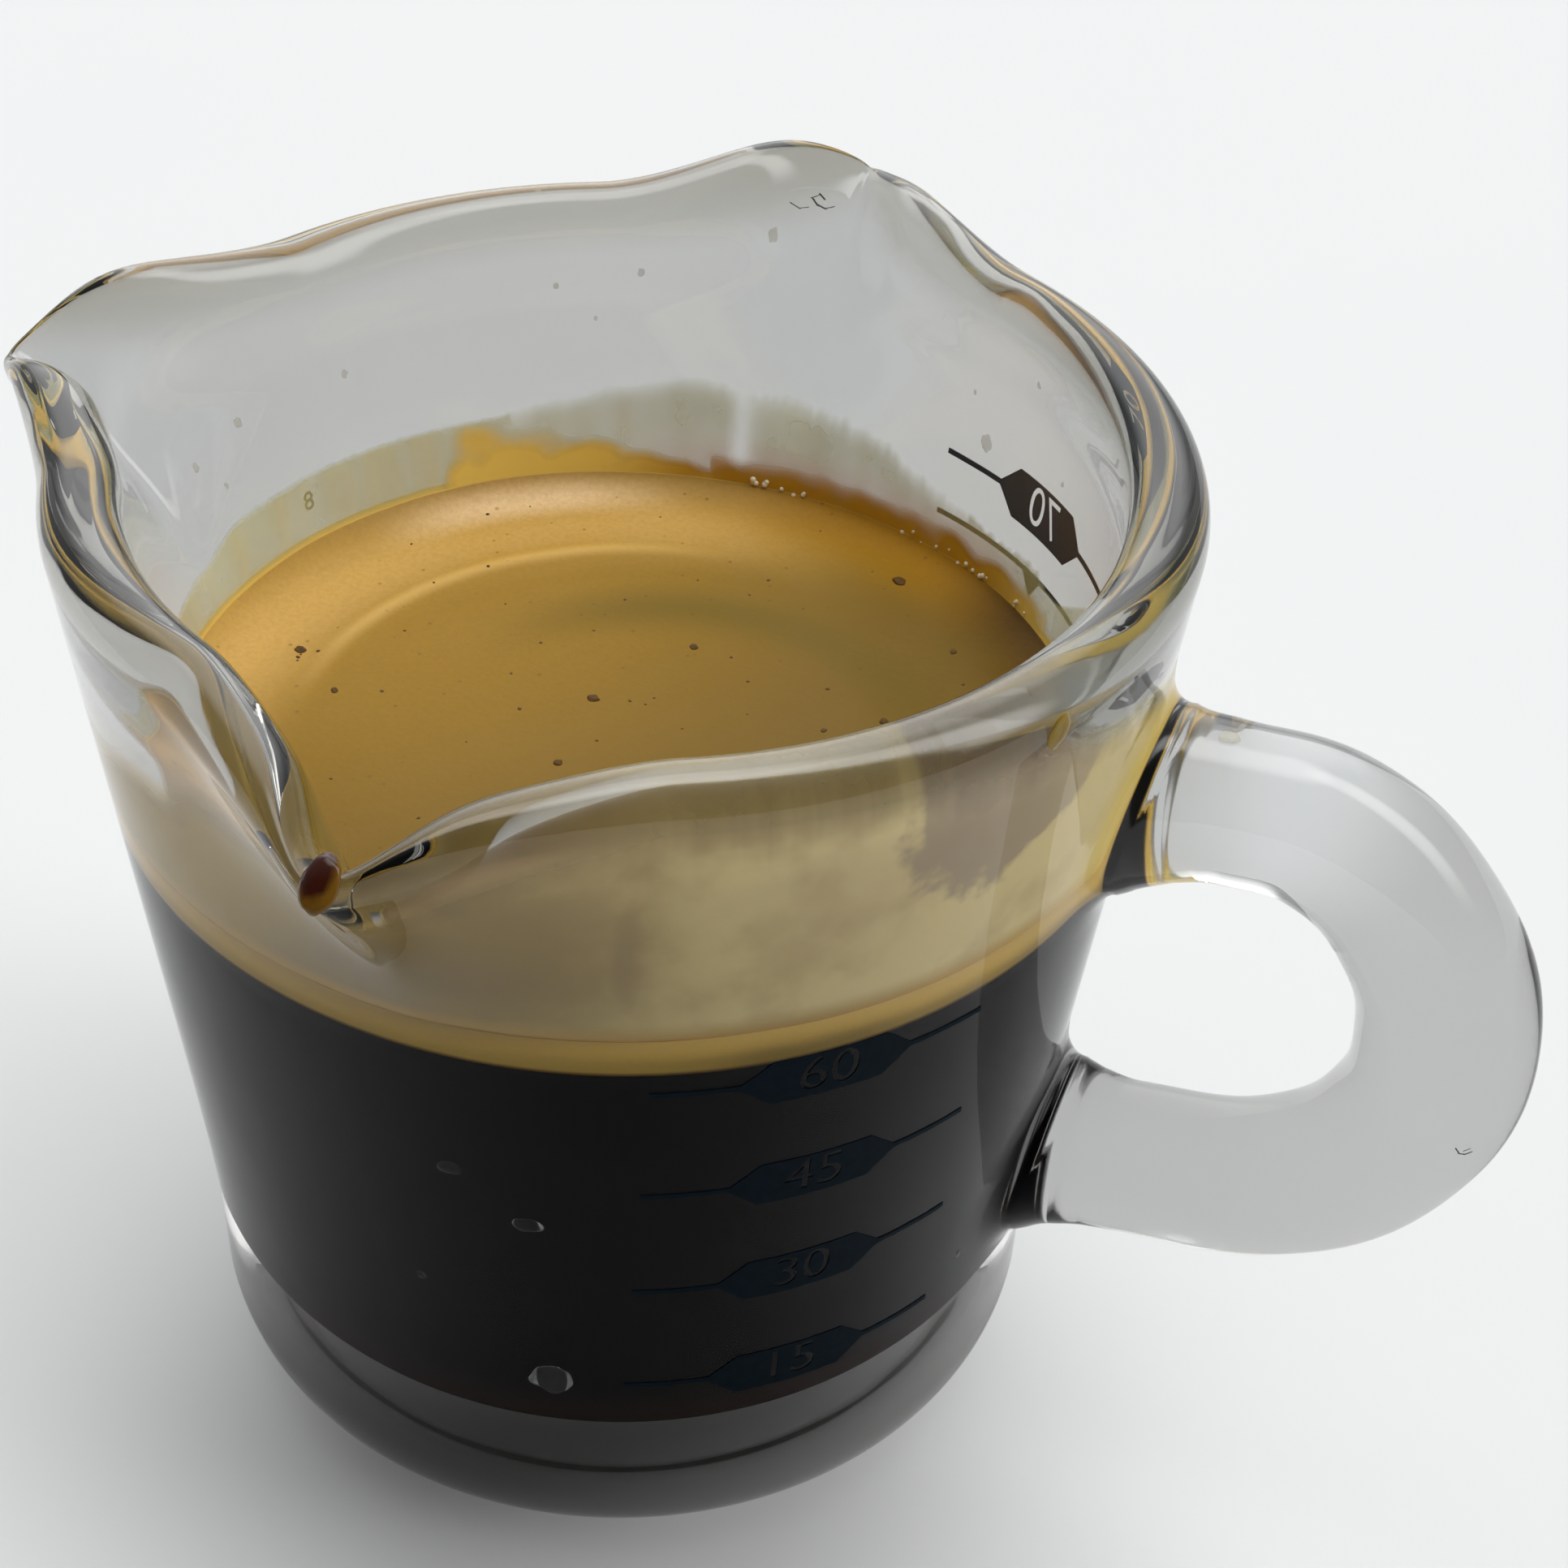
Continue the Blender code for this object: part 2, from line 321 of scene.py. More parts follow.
def crema_material():
    """Fine foam: ochre, with an olive swirl, a darker edge at the back right and tiny pores, and painted
    light: a lighter left, a highlight near the back-left wall and on the ridge, and a pale side where it
    shows through the wall.
    """
    made = Surface("crema_foam")
    tone = made.mix(made.noise(5 * MM, 3.0), (0.120, 0.067, 0.0030), (0.146, 0.083, 0.0050))
    # Painted light: the left of the crema is lighter, where the light falls from the back left
    painted_lit_side = made.spot((-24 * MM, 14 * MM, 0.0), 12 * MM, 40 * MM)
    tone = made.mix(painted_lit_side, tone, (0.275, 0.150, 0.012))
    for ring, spot, share, colour in CREMA_BANDS:
        tone = made.mix(made.times(made.band(ring, spot), share), tone, colour)
    amber_part = made.spot((5 * MM, 25 * MM, 0.0), 6 * MM, 15 * MM)
    brown = made.mix(amber_part, (0.075, 0.033, 0.0002), (0.380, 0.175, 0.002))
    tone = made.mix(made.band(*BROWN_EDGE), tone, brown)
    grain = made.ramp(made.noise(0.35 * MM, 3.0, rough=0.7), 0.3, 0.75)
    tone = made.mix(made.times(grain, 0.18), tone, (0.15, 0.085, 0.008))
    pores = made.ramp(made.dots(1.5 * MM), 0.11, 0.05)
    tone = made.mix(made.times(pores, 0.45), tone, (0.10, 0.05, 0.008))
    # A painted highlight on the ridge
    tone = made.mix(made.times(made.band(*PAINTED_RIDGE_HIGHLIGHT), 0.35), tone, (0.75, 0.48, 0.15))
    edge = inner_radius(CREMA_TOP)
    from_axis = made.distance(AXIS, (1.0, 1.0, 0.0))
    # Painted light: the side that shows through the wall is painted far paler than the top, for the light
    # that reaches it through the glass
    side = made.ramp(from_axis, edge - 0.05 * MM, edge + 0.05 * MM)
    tone = made.mix(side, tone, (0.62, 0.40, 0.085))
    tone = made.mix(made.ramp(made.height(), 40.2 * MM, 39.8 * MM), tone, (0.10, 0.04, 0.010))
    made.shade(Base_Color=tone, Roughness=0.27, Specular_IOR_Level=0.06)
    made.bump(made.noise(0.5 * MM, 3.0, rough=0.6), 0.35, 0.05 * MM)
    return made.material


def film_material():
    """Crema left on the wall: as thick as its thickness attribute says, and streaky."""
    made = Surface("crema_film")
    cloud = made.ramp(made.noise(4.5 * MM, 3.0), 0.2, 0.8)
    streaks = made.noise(1.6 * MM, 2.0, (1.0, 1.0, 0.2))
    cloud = made.math("ADD", made.times(cloud, 0.7), made.times(streaks, 0.3))
    # The front's tone holds painted light
    front = made.ramp(made.along_y(30 * MM), 27 * MM, 42 * MM)
    tone = made.mix(front, behind_tone(made), front_tone(made, cloud))
    share = made.math("MULTIPLY_ADD", cloud, 0.45, 0.75)
    alpha = made.math("MULTIPLY", made.thickness(), share, clamp=True)
    made.shade(Base_Color=tone, Roughness=0.5, Alpha=alpha, Specular_IOR_Level=0.1)
    made.bump(made.noise(1.6 * MM, 2.0), 0.3, 0.05 * MM)
    return made.material


def front_tone(made, cloud):
    """The film on the front wall: cream with painted light, paler to the right, for the light that shines
    through it from inside, with patches and a golden foot.
    """
    # Painted light: the film is painted pale, paler to the right, for the light that shines through it
    # from inside the jug
    right = made.ramp(made.along_x(-30 * MM), 27 * MM, 46 * MM)
    tone = made.mix(right, (0.47, 0.32, 0.06), (0.88, 0.71, 0.33))
    tone = made.mix(made.times(made.ramp(cloud, 0.62, 0.12), 0.45), tone, (0.50, 0.35, 0.13))
    ragged = made.times(made.noise(2.6 * MM, 3.0), 5.0 * MM)
    for degrees, z, inner, outer, share, colour in FILM_PATCHES:
        off = made.distance(on_inside(degrees, z * MM))
        inside = made.ramp(made.math("ADD", off, ragged), outer * MM, inner * MM)
        tone = made.mix(made.times(inside, share), tone, colour)
    streak = made.spot(on_inside(-68.5, 49.5 * MM), 0.2 * MM, 1.1 * MM, (1.0, 1.0, 0.16))
    tone = made.mix(made.times(streak, 0.4), tone, (0.33, 0.22, 0.10))
    return made.mix(made.ramp(made.height(), 44.4 * MM, 42.8 * MM), tone, (0.62, 0.40, 0.11))


def behind_tone(made):
    """The film on the back wall: grey-green where thin, golden where thick, brown at the right."""
    thick = made.ramp(made.thickness(), 0.35, 0.85)
    tone = made.mix(thick, (0.60, 0.58, 0.30), (0.95, 0.70, 0.17))
    brown = made.spot(on_inside(78.0, 43.0 * MM), 9 * MM, 17 * MM, (1.0, 1.0, 1.0))
    brown = made.times(brown, made.ramp(made.height(), 46.0 * MM, 44.2 * MM))
    return made.mix(brown, tone, (0.60, 0.33, 0.03))


def ink_material():
    """The scale's baked ink: blue-black, a little worn, and painted lighter and bluer on the back wall to
    offset the crema's orange light there.
    """
    made = Surface("scale_ink")
    tone = made.mix(made.noise(0.6 * MM, 2.0), (0.001, 0.004, 0.008), (0.004, 0.009, 0.015))
    # Painted light: lighter, bluer ink on the back wall, against the orange light from the crema
    back = made.ramp(made.along_y(-30 * MM), 34 * MM, 44 * MM)
    tone = made.mix(back, tone, (0.012, 0.028, 0.060))
    made.shade(Base_Color=tone, Roughness=0.5, Specular_IOR_Level=0.02)
    return made.material


def drop_material(thin):
    """A coffee drop: deep red-brown in its middle and of the given tone where it is thin."""
    made = Surface("coffee_drop")
    tone = made.mix(made.thickness(), thin, (0.036, 0.006, 0.002))
    made.shade(Base_Color=tone, Roughness=0.08, IOR=1.33)
    return made.material


def mottled(name, size, low, high, **values):
    """A material whose tone wanders between two colours."""
    made = Surface(name)
    made.shade(Base_Color=made.mix(made.noise(size), low, high), **values)
    return made.material


def bubble_material():
    return mottled("foam_bubble", 0.4 * MM, (0.75, 0.66, 0.50), (0.88, 0.82, 0.70), Roughness=0.15)


def speck_material():
    dark, light = (0.045, 0.020, 0.004), (0.11, 0.055, 0.010)
    return mottled("dark_speck", 0.3 * MM, dark, light, Roughness=0.6, Specular_IOR_Level=0.1)


def residue_material():
    """Dried spots of crema on the clear wall."""
    dark, light = (0.42, 0.39, 0.26), (0.52, 0.49, 0.36)
    look = {"Roughness": 0.6, "Alpha": 0.24, "Specular_IOR_Level": 0.1}
    return mottled("dried_spots", 0.4 * MM, dark, light, **look)


def trace_material():
    dark, light = (0.05, 0.05, 0.048), (0.12, 0.12, 0.11)
    return mottled("dark_trace", 0.3 * MM, dark, light, Roughness=0.4, Alpha=0.7)


def water_material():
    made = Surface("water_drop")
    faint = (0.1, 0.1, 0.1, 1.0)
    made.shade(Roughness=0.0, IOR=1.33, Transmission_Weight=1.0, Specular_Tint=faint, Alpha=0.4)
    made.bump(made.noise(1.0 * MM), 0.2, 0.02 * MM)
    return made.material


# The jug's shape

def within(value, low=0.0, high=1.0):
    return min(max(value, low), high)


def hill(distance, width):
    """1 where distance is 0, falling off smoothly to either side."""
    return math.exp(-(distance / width) ** 2)


def outer_radius(height):
    """The wall outside: nearly upright at the heel, then a straight flare to the rim."""
    def spread(level):
        above = level - FLARE_START
        return (above + math.hypot(above, FLARE_BLEND)) / 2
    slope = (RIM_RADIUS - HEEL_RADIUS) / spread(JUG_HEIGHT - RIM_BEAD)
    return HEEL_RADIUS + slope * spread(height)


def inner_radius(height):
    """The wall inside, which thickens into the bead just under the rim."""
    bead_base = JUG_HEIGHT - RIM_BEAD - BEAD_HEIGHT
    rise = within((height - bead_base) / BEAD_HEIGHT)
    swell = (2 * RIM_BEAD - WALL) * (1 - math.cos(math.pi * rise)) / 2
    return outer_radius(height) - WALL - swell


def arc(centre, radii, start, end, count):
    """Points on a part of an ellipse, both ends included, angles in degrees from +X."""
    points = []
    for step in range(count + 1):
        angle = math.radians(start + (end - start) * step / count)
        points.append((centre[0] + radii[0] * math.cos(angle), centre[1] + radii[1] * math.sin(angle)))
    return points


def wall_levels(low, high, count):
    return [low + (high - low) * step / count for step in range(1, count)]


def jug_profile():
    """From the middle of the floor, up the inside, over the rim, down the outside to the base."""
    floor_corner = BASE_THICKNESS + FLOOR_ROUND
    rim_level = JUG_HEIGHT - RIM_BEAD
    inside = inner_radius(floor_corner)
    points = [(0.0, BASE_THICKNESS)]
    points += [(inside * share, BASE_THICKNESS) for share in (0.25, 0.5, 0.7)]
    points += arc((inside - FLOOR_ROUND, floor_corner), (FLOOR_ROUND, FLOOR_ROUND), -90, 0, 12)
    inner = wall_levels(floor_corner, rim_level, WALL_STEPS)
    points += [(inner_radius(level), level) for level in inner]
    points += arc((RIM_RADIUS - RIM_BEAD, rim_level), (RIM_BEAD, RIM_BEAD), 180, 0, 24)
    outer = wall_levels(FOOT_ROUND_HEIGHT, rim_level, WALL_STEPS)
    points += [(outer_radius(level), level) for level in reversed(outer)]
    foot = outer_radius(FOOT_ROUND_HEIGHT) - FOOT_ROUND
    points += arc((foot, FOOT_ROUND_HEIGHT), (FOOT_ROUND, FOOT_ROUND_HEIGHT), 0, -90, 18)
    points += [(radius * MM, rise * MM) for radius, rise in UNDERSIDE]
    return points


def turn_from(lip, angle):
    """How far angle is from the lip's tip: 0 there, and 1 or -1 where the lip ends."""
    return math.remainder(angle - lip[0], 2 * math.pi) / LIP_HALF_WIDTH


def pull_share(turn):
    """The share of the pull outwards: a V with a slightly rounded tip and curved-in flanks."""
    eased = math.hypot(turn, LIP_TIP_ROUND) - LIP_TIP_ROUND
    eased /= math.hypot(1.0, LIP_TIP_ROUND) - LIP_TIP_ROUND
    return (1.0 - eased) ** LIP_SHARPNESS


def tip_share(turn):
    """The share of what happens only at the tip, where the glass is drawn thin and droops."""
    return hill(turn, LIP_DROOP_WIDTH)


def flank_share(turn):
    """The share of the flanks' rise, which is all near the tip."""
    return math.sin(math.pi * math.sqrt(turn)) ** 2


def lip_fade(height):
    """The pull's share at a height: all of it at the rim, none below the lip."""
    rise = within((height - (JUG_HEIGHT - LIP_DEPTH)) / LIP_DEPTH)
    return rise * rise * (1 + LIP_EARLINESS * (1 - rise))


def pulled(angle, radius, z):
    """Where the point of the turned jug at angle (radians), radius and z is once the lips are pulled."""
    lip = min(LIPS, key=lambda each: abs(turn_from(each, angle)))
    _, pull, droop, clockwise_rise, other_rise = lip
    rise = other_rise if turn_from(lip, angle) > 0 else clockwise_rise
    turn = min(abs(turn_from(lip, angle)), 1.0)
    fade = lip_fade(z)
    if turn < 1.0 and fade > 0.0:
        outside = outer_radius(z)
        depth = (outside - radius) * (1 + LIP_THICKENING * pull_share(turn) * fade)
        depth *= 1 - LIP_TIP_THINNING * tip_share(turn) * fade
        if depth > MARK_DEPTH:
            depth += mark_relief(math.degrees(angle), z)
        radius = outside - depth + pull * pull_share(turn) * fade
        z += (rise * flank_share(turn) - droop * tip_share(turn)) * fade
    return Vector((radius * math.cos(angle), radius * math.sin(angle), z))


def mark_relief(degrees, z):
    """How far the glass stands proud on the inside along the marks of the tool that pulled the lips."""
    relief = 0.0
    for mark in TOOL_MARKS:
        for (low_turn, low), (high_turn, high) in zip(mark, mark[1:]):
            if high <= z / MM <= low:
                share = (low - z / MM) / (low - high)
                off = math.remainder(degrees - (low_turn + (high_turn - low_turn) * share), 360)
                along = (mark[0][1] - z / MM) / (mark[0][1] - mark[-1][1])
                relief += math.sin(math.pi * along) * hill(off, MARK_WIDTH)
    return MARK_HEIGHT * relief


def on_outside(degrees, z, proud=0.0):
    """A point on the wall's outside, or proud of it by that much."""
    return pulled(math.radians(degrees), outer_radius(z) + proud, z)


def on_inside(degrees, z, proud=0.0):
    """A point on the wall's inside, or proud of it towards the axis."""
    return pulled(math.radians(degrees), inner_radius(z) - proud, z)


# Mesh helpers

def new_piece(name, vertices, faces, surface, smooth=True):
    mesh = bpy.data.meshes.new(name)
    mesh.from_pydata([tuple(each) for each in vertices], [], faces)
    return mesh_piece(name, mesh, surface, smooth)


def mesh_piece(name, mesh, surface, smooth=True):
    """Weld and face the mesh outwards, and put it in the scene as a piece of the object."""
    soup = bmesh.new()
    soup.from_mesh(mesh)
    bmesh.ops.remove_doubles(soup, verts=soup.verts, dist=MERGE)
    bmesh.ops.recalc_face_normals(soup, faces=soup.faces)
    soup.to_mesh(mesh)
    soup.free()
    mesh.name = name
    mesh.materials.clear()
    mesh.materials.append(surface)
    if smooth:
        mesh.shade_smooth()
    return in_scene(name, mesh)


def in_scene(name, data):
    """A new object with this data, in the scene."""
    made = bpy.data.objects.new(name, data)
    bpy.context.scene.collection.objects.link(made)
    return made


def finished_mesh(made):
    """The mesh of a curve, or of a mesh with its modifiers applied."""
    bpy.context.view_layer.update()
    evaluated = made.evaluated_get(bpy.context.evaluated_depsgraph_get())
    return bpy.data.meshes.new_from_object(evaluated)


def declare(piece, slot, *replaced):
    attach(piece, "root")
    if replaced:
        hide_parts(*replaced)


def add_lumps(name, lumps, surface, slot, smooth=True):
    """One piece of several lumps, each of them vertices and faces."""
    declare(new_piece(name, *joined(lumps), surface, smooth), slot)


def plainly_turned(angle, radius, z):
    return radius * math.cos(angle), radius * math.sin(angle), z


def turned(profile, steps, place=plainly_turned):
    """Vertices and faces of a solid turned from a profile that starts and ends on the axis."""
    middle = profile[1:-1]
    vertices = [(0.0, 0.0, profile[0][1]), (0.0, 0.0, profile[-1][1])]
    for step in range(steps):
        angle = 2 * math.pi * step / steps
        angle -= CROWDING * math.sin(4 * angle) / 4
        vertices += [place(angle, radius, z) for radius, z in middle]
    faces = []
    count = len(middle)
    for step in range(steps):
        here = 2 + step * count
        there = 2 + (step + 1) % steps * count
        faces.append((0, here, there))
        faces += [(here + k, here + k + 1, there + k + 1, there + k) for k in range(count - 1)]
        faces.append((here + count - 1, 1, there + count - 1))
    return vertices, faces


LUMP_SWELL = 1.3
SUNK_SHARE = 0.35


def blob(centre, across, up, size, seed, rough):
    """A low lump on the surface that across and up span: size is half width, half length, height."""
    wide, long, tall = size
    ball = bmesh.new()
    bmesh.ops.create_icosphere(ball, subdivisions=3, radius=1.0)
    out = across.cross(up).normalized()
    vertices = []
    for vertex in ball.verts:
        swell = 1 + rough * noise.noise(vertex.co * LUMP_SWELL + Vector((seed, seed * 0.7, 0.3)))
        local = vertex.co * swell
        height = local.z if local.z > 0 else local.z * SUNK_SHARE
        vertices.append(centre + across * local.x * wide + up * local.y * long + out * height * tall)
    faces = [tuple(v.index for v in face.verts) for face in ball.faces]
    ball.free()
    return vertices, faces


def joined(lumps):
    """Several lists of vertices and faces as one."""
    vertices = []
    faces = []
    for more_vertices, more_faces in lumps:
        start = len(vertices)
        vertices += more_vertices
        faces += [tuple(start + index for index in face) for face in more_faces]
    return vertices, faces


def set_thickness(piece, values):
    """Give each vertex its value of the attribute that some materials read."""
    attribute = piece.data.attributes.new("thickness", "FLOAT", "POINT")
    attribute.data.foreach_set("value", values)


def wall_frame(place, degrees, z, step=0.2):
    """The directions along the wall and up it at a point, for place = on_outside or on_inside."""
    across = (place(degrees + step, z) - place(degrees - step, z)).normalized()
    up = (place(degrees, z + step * MM) - place(degrees, z - step * MM)).normalized()
    return across, up


# The glass

def make_rod():
    """The handle's bent rod, whose ends lie inside the wall."""
    curve = bpy.data.curves.new("rod", "CURVE")
    curve.dimensions = "3D"
    curve.resolution_u = HANDLE_RESOLUTION
    curve.bevel_depth = 1.0
    curve.bevel_resolution = HANDLE_SIDES
    curve.use_fill_caps = True
    spline = curve.splines.new("BEZIER")
    spline.radius_interpolation = "CARDINAL"
    spline.bezier_points.add(len(HANDLE_STATIONS) - 1)
    for point, station in zip(spline.bezier_points, HANDLE_STATIONS):
        x, z, radius = [each * MM for each in station]
        point.co = (x, 0.0, z)
        point.radius = radius
        point.handle_left_type = "AUTO"
        point.handle_right_type = "AUTO"
    rod = in_scene("rod", curve)
    mesh = finished_mesh(rod)
    bpy.data.objects.remove(rod, do_unlink=True)
    return mesh


def soften_seam(mesh):
    """Round the crease where the rod meets the wall, as glass that is joined hot does."""
    soup = bmesh.new()
    soup.from_mesh(mesh)
    for _ in range(2):
        seam = crease_near(soup, SEAM_REACH)
        edges = {edge for vertex in seam for edge in vertex.link_edges if edge.calc_length() > SEAM_EDGE}
        bmesh.ops.subdivide_edges(soup, edges=list(edges), cuts=1, use_grid_fill=True)
        bmesh.ops.triangulate(soup, faces=[face for face in soup.faces if len(face.verts) > 4])
    seam = crease_near(soup, SEAM_REACH)
    for _ in range(SEAM_PASSES):
        bmesh.ops.smooth_vert(
            soup, verts=seam, factor=0.5, use_axis_x=True, use_axis_y=True, use_axis_z=True)
    soup.to_mesh(mesh)
    soup.free()


def crease_near(soup, reach):
    """The vertices within reach of the sharp crease on the handle's side."""
    soup.normal_update()
    seam = []
    for edge in soup.edges:
        beside_handle = edge.verts[0].co.x > HANDLE_SIDE and len(edge.link_faces) == 2
        if beside_handle and edge.calc_face_angle(0.0) > SEAM_ANGLE:
            seam += [vertex.co.copy() for vertex in edge.verts]
    tree = kdtree.KDTree(len(seam))
    for order, place in enumerate(seam):
        tree.insert(place, order)
    tree.balance()
    beside = [vertex for vertex in soup.verts if vertex.co.x > HANDLE_SIDE]
    return [vertex for vertex in beside if seam and tree.find(vertex.co)[2] < reach]


def make_glass():
    surface = glass_material()
    vertices, faces = turned(jug_profile(), GLASS_STEPS, pulled)
    jug = new_piece("glass_turned", vertices, faces, surface)
    rod = mesh_piece("glass_rod", make_rod(), surface)
    union = jug.modifiers.new("fused", "BOOLEAN")
    union.operation = "UNION"
    union.solver = "EXACT"
    union.object = rod
    mesh = finished_mesh(jug)
    for scrap in (jug, rod):
        bpy.data.objects.remove(scrap, do_unlink=True)
    soften_seam(mesh)
    glass = mesh_piece("glass_body", mesh, surface)
    glass.visible_shadow = False
    declare(glass, "clear_glass", "glass_jug")


# The drink

COFFEE_OVERLAP = 0.2 * MM


def make_coffee():
    floor_corner = BASE_THICKNESS + FLOOR_ROUND
    inside = inner_radius(floor_corner)
    bend = FLOOR_ROUND + REACH
    top = COFFEE_TOP + COFFEE_OVERLAP
    levels = wall_levels(floor_corner, top, 16)
    profile = [(0.0, top), (inner_radius(top) + REACH, top)]
    profile += [(inner_radius(level) + REACH, level) for level in reversed(levels)]
    profile += arc((inside - FLOOR_ROUND, floor_corner), (bend, bend), 0, -90, 12)
    profile.append((0.0, BASE_THICKNESS - REACH))
    vertices, faces = turned(profile, DRINK_STEPS)
    declare(new_piece("coffee_drink", vertices, faces, coffee_material()), "black_coffee", "coffee")


# The crema's top: its waves, the rings round its swirl, its rise at the wall, and the ridge at the left
WAVES = ((0.10 * MM, 9 * MM), (0.03 * MM, 2.5 * MM))
SWIRL_PLACE = (3 * MM, -3 * MM)
RIPPLE_HEIGHT = 0.035 * MM
RIPPLE_LENGTH = 1.9 * MM
RIPPLE_START = 20 * MM
CLIMB_HEIGHT = 0.75 * MM
CLIMB_EXTRA = 0.45 * MM
CLIMB_WIDTH = 3.2 * MM
CLIMB_POWER = 2.2
LEFT_PLACE = (-18 * MM, 16 * MM)
LEFT_REACH = 17 * MM
RIDGE_PLACE = (1 * MM, -1 * MM)
RIDGE_HEIGHT = 0.26 * MM
RIDGE_RADIUS = 19.6 * MM
RIDGE_WIDTH = 0.8 * MM

CREMA_RINGS = 60
RING_CROWDING = 0.9
CREMA_REACH = 1.2 * REACH
CREMA_SHOULDER = 0.1 * MM


def crema_height(x, y, radius, edge):
    """The crema's top: slow waves, faint rings, and a rise where it clings to the wall."""
    place = Vector((x, y, 0.0))
    wave = sum(height * noise.noise(place / size) for height, size in WAVES)
    from_swirl = math.dist((x, y), SWIRL_PLACE)
    ripple = RIPPLE_HEIGHT * math.sin(from_swirl / RIPPLE_LENGTH) * min(radius / RIPPLE_START, 1.0)
    left = hill(math.dist((x, y), LEFT_PLACE), LEFT_REACH)
    ridge = RIDGE_HEIGHT * left * hill(math.dist((x, y), RIDGE_PLACE) - RIDGE_RADIUS, RIDGE_WIDTH)
    climb = max(1 - (edge - radius) / CLIMB_WIDTH, 0.0) ** CLIMB_POWER
    return CREMA_TOP + wave + ripple + ridge + (CLIMB_HEIGHT + CLIMB_EXTRA * left) * climb


def make_crema():
    """A disc of foam with a finely made top and a plain side that shows through the wall."""
    edge = inner_radius(CREMA_TOP)
    rings = [edge * (step / CREMA_RINGS) ** RING_CROWDING for step in range(1, CREMA_RINGS + 1)]
    profile = [(0.0, CREMA_TOP)]
    profile += [(radius, CREMA_TOP) for radius in rings]
    profile.append((edge + CREMA_REACH, CREMA_TOP + CREMA_SHOULDER))
    profile.append((inner_radius(COFFEE_TOP) + CREMA_REACH, COFFEE_TOP))
    profile.append((0.0, COFFEE_TOP))

    def place(angle, radius, z):
        x = radius * math.cos(angle)
        y = radius * math.sin(angle)
        if z >= CREMA_TOP:
            z = crema_height(x, y, radius, edge)
        return x, y, z
    vertices, faces = turned(profile, DRINK_STEPS, place)
    declare(new_piece("crema_layer", vertices, faces, crema_material()), "crema", "crema")


# Crema left on the wall: its upper edge as angle in degrees and height in millimetres
FILM_EDGE = (
    (-170, 45.5), (-150, 47.5), (-125, 51.5), (-108, 54.5), (-96, 56.0), (-84, 57.0), (-72, 57.5),
    (-62, 58.0), (-50, 58.0), (-38, 58.0), (-24, 57.0), (-8, 55.0), (8, 52.5), (24, 49.0),
    (41, 45.4), (47, 46.0), (54, 45.7), (64, 46.2), (70, 46.8), (77, 47.9), (84, 48.2),
    (91, 48.5), (96.8, 48.3), (99.6, 48.8), (103, 49.1), (113, 48.6), (120, 47.9),
    (131, 47.2), (155, 47.2), (170, 46.9), (180, 45.9), (190, 45.5),
)
FILM_COLUMNS = 720
FILM_ROWS = 24
FILM_START = -170
FILM_THICKNESS = 0.10 * MM
FILM_DEPTH = 0.12 * MM
FILM_BELOW = 0.3 * MM
# How far the edge wanders up and down, in millimetres, where it is torn and elsewhere
EDGE_RAGGED = 0.28
EDGE_CALM = 0.08

# How much of the wall the film hides, with angles in degrees and heights over the crema in
# millimetres: its foot, the thick patch at the back left, the thin part, the gap and the front
FOOT_SHARE = 1.1
FOOT_REACH = 1.7
PATCH_SHARE = 1.3
PATCH_RIGHT = 100
PATCH_LEFT = 139.5
PATCH_REACHES = (1.6, 5.2)
PATCH_GROWTH = 36
RIGHT_REACH = 2.5
THIN_LEFT = 0.46
THIN_RIGHT = 0.40
GAP_ANGLE = 96.3
GAP_WIDTH = 1.5
GAP_START = 1.6
GAP_SHARE = 0.75
FRONT_SHARE = 1.4
FRONT_SOFTNESS = 6.0
BACK_SOFTNESS = 1.6
LEFT_SOFTNESS = 0.35


def film_edge(degrees):
    for (low, low_height), (high, high_height) in zip(FILM_EDGE, FILM_EDGE[1:]):
        if low <= degrees <= high:
            share = (degrees - low) / (high - low)
            share = share * share * (3 - 2 * share)
            return (low_height + (high_height - low_height) * share) * MM
    return FILM_EDGE[0][1] * MM


def film_cover(degrees, z, top):
    """How much of the wall the film hides at an angle and height: 0 for none and 1 for all."""
    level = (z - CREMA_TOP) / MM
    below = (top - z) / MM
    patchy = 1.0 + 0.5 * noise.noise(Vector((degrees / 5.0, z / (2 * MM), 5.0)))
    thick = FOOT_SHARE * hill(level, FOOT_REACH)
    if degrees > PATCH_RIGHT:
        low, high = PATCH_REACHES
        reach = low + (high - low) * min((degrees - PATCH_RIGHT) / PATCH_GROWTH, 1.0)
        start = within((PATCH_LEFT - degrees) / 5.5)
        thick = max(thick, PATCH_SHARE * patchy * start * math.exp(-(level / reach) ** 4))
    elif degrees > 40:
        thick = max(thick, FOOT_SHARE * patchy * math.exp(-(level / RIGHT_REACH) ** 4))
    thin = THIN_LEFT if degrees > 130 else THIN_RIGHT
    streak = 0.5 + 0.5 * noise.noise(Vector((degrees / 3.0, z / (14 * MM), 0.0)))
    share = max(thick, thin * (0.8 + 0.4 * streak))
    gap = hill(degrees - GAP_ANGLE, GAP_WIDTH) * within(level - GAP_START)
    soft = BACK_SOFTNESS if 60 < degrees < 128 else LEFT_SOFTNESS
    front = within((25 - degrees) / 20) * within((degrees - FILM_START) / 20)
    share += (FRONT_SHARE - share) * front
    soft += (FRONT_SOFTNESS - soft) * front
    fade = within(below / soft)
    return share * (1 - GAP_SHARE * gap) * fade * (2 - fade)


def edge_wander(degrees):
    """How far the film's edge lies over or under its smooth line, as torn foam does."""
    coarse = noise.noise(Vector((degrees / 1.2, 3.0, 0.0)))
    fine = noise.noise(Vector((degrees / 0.45, 8.0, 0.0)))
    ragged = 20 < degrees < 100 or -60 < degrees < 0
    return (coarse + 0.6 * fine) * (EDGE_RAGGED if ragged else EDGE_CALM) * MM


